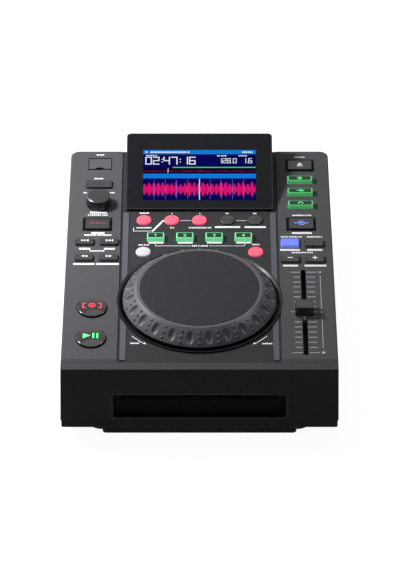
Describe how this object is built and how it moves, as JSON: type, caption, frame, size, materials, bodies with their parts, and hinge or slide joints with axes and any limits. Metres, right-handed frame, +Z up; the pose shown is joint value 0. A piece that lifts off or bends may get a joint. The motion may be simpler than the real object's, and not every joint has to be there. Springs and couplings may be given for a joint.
{
  "type": "tabletop disc player",
  "caption": "Wedge-shaped tabletop disc player: front slot, large jog wheel, tilted screen, rows of lit keys, push knob, pitch fader and a flap over a port.",
  "frame": {"origin": "on the ground, at the centre of the footprint with the rear jacks counted", "axes": "+X to the right seen from the front, +Y towards the rear, +Z up"},
  "size_m": [0.2222, 0.2976, 0.1089],
  "materials": {
    "casing": "fine moulded texture",
    "tray": "fine texture",
    "gloss_black": "polished",
    "felt": "short pile",
    "trim": "satin",
    "display_frame": "satin",
    "window": "clear acrylic printed black behind",
    "lcd": "lit panel",
    "grip": "soft touch",
    "touch_plate": "fine matte",
    "steel": "plain sheet",
    "bronze": "sintered",
    "key": "satin",
    "lit_pink": "lit translucent",
    "lit_green": "lit translucent",
    "lit_white": "lit translucent",
    "lit_blue": "lit translucent",
    "big_button": "polished dome",
    "knob": "soft touch",
    "door": "fine moulded texture",
    "board": "solder mask",
    "rear_plastic": "moulded",
    "jack_metal": "nickel plated",
    "rubber": "matte",
    "screw": "black zinc"
  },
  "bodies": {
    "chassis": {"top_cover": "casing", "slot_bezel": "gloss_black", "slot_felt": "felt", "bottom_tray": "tray", "trim_strips": "trim", "display_housing": "display_frame", "display_window": "window", "lcd_module": "lcd", "jog_surround": "gloss_black", "jog_bearing": "bronze", "browse_encoder": "steel", "fader_channel": "steel", "usb_socket": "steel", "drive_chassis": "steel", "button_boards": "board", "main_board": "board", "power_supply": "board", "power_inlet": "rear_plastic", "rear_jacks": "jack_metal", "rubber_feet": "rubber", "case_screws": "screw"},
    "jog_wheel": {"jog_ring": "grip", "jog_plate": "touch_plate", "jog_hub": "steel"},
    "browse_rotor": {"browse_rotor": "steel"},
    "browse_knob": {"browse_knob": "knob"},
    "pitch_fader": {"fader_cap": "knob", "fader_carriage": "steel"},
    "usb_door": {"usb_door": "door"},
    "power_rocker": {"power_rocker": "rear_plastic"},
    "disc_hub": {"disc_hub": "knob"},
    "loading_roller": {"loading_roller": "rubber"},
    "back": {"back": "key"},
    "track_previous": {"track_previous": "key"},
    "track_next": {"track_next": "key"},
    "search_back": {"search_back": "key"},
    "search_forward": {"search_forward": "key"},
    "bpm_tap": {"bpm_tap": "key"},
    "pitch_minus": {"pitch_minus": "key"},
    "pitch_plus": {"pitch_plus": "key"},
    "eject": {"eject": "key"},
    "jog_mode": {"jog_mode": "key"},
    "reverse": {"reverse": "key"},
    "loop_half": {"loop_half": "key"},
    "loop_double": {"loop_double": "key"},
    "auto_loop": {"auto_loop": "lit_pink"},
    "loop_in": {"loop_in": "lit_pink"},
    "loop_out": {"loop_out": "lit_pink"},
    "slip": {"slip": "lit_pink"},
    "hot_cue_1": {"hot_cue_1": "lit_green"},
    "hot_cue_2": {"hot_cue_2": "lit_green"},
    "hot_cue_3": {"hot_cue_3": "lit_green"},
    "hot_cue_4": {"hot_cue_4": "lit_green"},
    "source_disc": {"source_disc": "lit_green"},
    "source_usb": {"source_usb": "lit_green"},
    "source_midi": {"source_midi": "lit_green"},
    "shift": {"shift": "lit_white"},
    "key_lock": {"key_lock": "lit_blue"},
    "cue": {"cue": "big_button"},
    "play_pause": {"play_pause": "big_button"}
  },
  "joints": [
    {"name": "back_press", "type": "slide", "parent": "chassis", "child": "back", "axis": [0, 0.061, -0.9981], "range_m": [0, 0.0005], "stiffness_N_per_m": 600, "springref_m": -0.0006},
    {"name": "track_previous_press", "type": "slide", "parent": "chassis", "child": "track_previous", "axis": [0, 0.061, -0.9981], "range_m": [0, 0.0005], "stiffness_N_per_m": 600, "springref_m": -0.0006},
    {"name": "track_next_press", "type": "slide", "parent": "chassis", "child": "track_next", "axis": [0, 0.061, -0.9981], "range_m": [0, 0.0005], "stiffness_N_per_m": 600, "springref_m": -0.0006},
    {"name": "search_back_press", "type": "slide", "parent": "chassis", "child": "search_back", "axis": [0, 0.061, -0.9981], "range_m": [0, 0.0005], "stiffness_N_per_m": 600, "springref_m": -0.0006},
    {"name": "search_forward_press", "type": "slide", "parent": "chassis", "child": "search_forward", "axis": [0, 0.061, -0.9981], "range_m": [0, 0.0005], "stiffness_N_per_m": 600, "springref_m": -0.0006},
    {"name": "bpm_tap_press", "type": "slide", "parent": "chassis", "child": "bpm_tap", "axis": [0, 0.061, -0.9981], "range_m": [0, 0.0005], "stiffness_N_per_m": 600, "springref_m": -0.0006},
    {"name": "pitch_minus_press", "type": "slide", "parent": "chassis", "child": "pitch_minus", "axis": [0, 0.061, -0.9981], "range_m": [0, 0.0005], "stiffness_N_per_m": 600, "springref_m": -0.0006},
    {"name": "pitch_plus_press", "type": "slide", "parent": "chassis", "child": "pitch_plus", "axis": [0, 0.061, -0.9981], "range_m": [0, 0.0005], "stiffness_N_per_m": 600, "springref_m": -0.0006},
    {"name": "eject_press", "type": "slide", "parent": "chassis", "child": "eject", "axis": [0, 0.061, -0.9981], "range_m": [0, 0.0005], "stiffness_N_per_m": 600, "springref_m": -0.0006},
    {"name": "jog_mode_press", "type": "slide", "parent": "chassis", "child": "jog_mode", "axis": [0, 0.061, -0.9981], "range_m": [0, 0.0005], "stiffness_N_per_m": 600, "springref_m": -0.0006},
    {"name": "reverse_press", "type": "slide", "parent": "chassis", "child": "reverse", "axis": [0, 0.061, -0.9981], "range_m": [0, 0.0005], "stiffness_N_per_m": 600, "springref_m": -0.0006},
    {"name": "loop_half_press", "type": "slide", "parent": "chassis", "child": "loop_half", "axis": [0, 0.061, -0.9981], "range_m": [0, 0.0005], "stiffness_N_per_m": 600, "springref_m": -0.0006},
    {"name": "loop_double_press", "type": "slide", "parent": "chassis", "child": "loop_double", "axis": [0, 0.061, -0.9981], "range_m": [0, 0.0005], "stiffness_N_per_m": 600, "springref_m": -0.0006},
    {"name": "auto_loop_press", "type": "slide", "parent": "chassis", "child": "auto_loop", "axis": [0, 0.061, -0.9981], "range_m": [0, 0.0005], "stiffness_N_per_m": 600, "springref_m": -0.0006},
    {"name": "loop_in_press", "type": "slide", "parent": "chassis", "child": "loop_in", "axis": [0, 0.061, -0.9981], "range_m": [0, 0.0005], "stiffness_N_per_m": 600, "springref_m": -0.0006},
    {"name": "loop_out_press", "type": "slide", "parent": "chassis", "child": "loop_out", "axis": [0, 0.061, -0.9981], "range_m": [0, 0.0005], "stiffness_N_per_m": 600, "springref_m": -0.0006},
    {"name": "slip_press", "type": "slide", "parent": "chassis", "child": "slip", "axis": [0, 0.061, -0.9981], "range_m": [0, 0.0005], "stiffness_N_per_m": 600, "springref_m": -0.0006},
    {"name": "hot_cue_1_press", "type": "slide", "parent": "chassis", "child": "hot_cue_1", "axis": [0, 0.061, -0.9981], "range_m": [0, 0.0005], "stiffness_N_per_m": 600, "springref_m": -0.0006},
    {"name": "hot_cue_2_press", "type": "slide", "parent": "chassis", "child": "hot_cue_2", "axis": [0, 0.061, -0.9981], "range_m": [0, 0.0005], "stiffness_N_per_m": 600, "springref_m": -0.0006},
    {"name": "hot_cue_3_press", "type": "slide", "parent": "chassis", "child": "hot_cue_3", "axis": [0, 0.061, -0.9981], "range_m": [0, 0.0005], "stiffness_N_per_m": 600, "springref_m": -0.0006},
    {"name": "hot_cue_4_press", "type": "slide", "parent": "chassis", "child": "hot_cue_4", "axis": [0, 0.061, -0.9981], "range_m": [0, 0.0005], "stiffness_N_per_m": 600, "springref_m": -0.0006},
    {"name": "source_disc_press", "type": "slide", "parent": "chassis", "child": "source_disc", "axis": [0, 0.061, -0.9981], "range_m": [0, 0.0005], "stiffness_N_per_m": 600, "springref_m": -0.0006},
    {"name": "source_usb_press", "type": "slide", "parent": "chassis", "child": "source_usb", "axis": [0, 0.061, -0.9981], "range_m": [0, 0.0005], "stiffness_N_per_m": 600, "springref_m": -0.0006},
    {"name": "source_midi_press", "type": "slide", "parent": "chassis", "child": "source_midi", "axis": [0, 0.061, -0.9981], "range_m": [0, 0.0005], "stiffness_N_per_m": 600, "springref_m": -0.0006},
    {"name": "shift_press", "type": "slide", "parent": "chassis", "child": "shift", "axis": [0, 0.061, -0.9981], "range_m": [0, 0.0005], "stiffness_N_per_m": 600, "springref_m": -0.0006},
    {"name": "key_lock_press", "type": "slide", "parent": "chassis", "child": "key_lock", "axis": [0, 0.061, -0.9981], "range_m": [0, 0.0005], "stiffness_N_per_m": 600, "springref_m": -0.0006},
    {"name": "cue_press", "type": "slide", "parent": "chassis", "child": "cue", "axis": [0, 0.061, -0.9981], "range_m": [0, 0.0008], "stiffness_N_per_m": 900, "springref_m": -0.0006},
    {"name": "play_pause_press", "type": "slide", "parent": "chassis", "child": "play_pause", "axis": [0, 0.061, -0.9981], "range_m": [0, 0.0008], "stiffness_N_per_m": 900, "springref_m": -0.0006},
    {"name": "jog_spin", "type": "hinge", "parent": "chassis", "child": "jog_wheel", "pos_m": [0, -0.06369, 0.07457], "axis": [0, -0.061, 0.9981], "continuous": true},
    {"name": "browse_turn", "type": "hinge", "parent": "chassis", "child": "browse_rotor", "pos_m": [-0.0846, 0.06328, 0.08233], "axis": [0, -0.061, 0.9981], "continuous": true},
    {"name": "browse_push", "type": "slide", "parent": "browse_rotor", "child": "browse_knob", "axis": [0, 0.061, -0.9981], "range_m": [0, 0.0005], "stiffness_N_per_m": 700, "springref_m": -0.0006},
    {"name": "pitch_slide", "type": "slide", "parent": "chassis", "child": "pitch_fader", "axis": [0, 0.9981, 0.061], "range_m": [-0.05, 0.05]},
    {"name": "usb_door_hinge", "type": "hinge", "parent": "chassis", "child": "usb_door", "pos_m": [-0.0844, 0.1269, 0.08542], "axis": [-1, 0, 0], "range_deg": [0, 100]},
    {"name": "power_rock", "type": "hinge", "parent": "chassis", "child": "power_rocker", "pos_m": [-0.043, 0.13931, 0.036], "axis": [-1, 0, 0], "range_deg": [0, 14]},
    {"name": "hub_spin", "type": "hinge", "parent": "chassis", "child": "disc_hub", "pos_m": [0, -0.06175, 0.0376], "axis": [0, 0, 1], "continuous": true},
    {"name": "roller_spin", "type": "hinge", "parent": "chassis", "child": "loading_roller", "pos_m": [0, -0.12825, 0.0314], "axis": [1, 0, 0], "continuous": true}
  ]
}
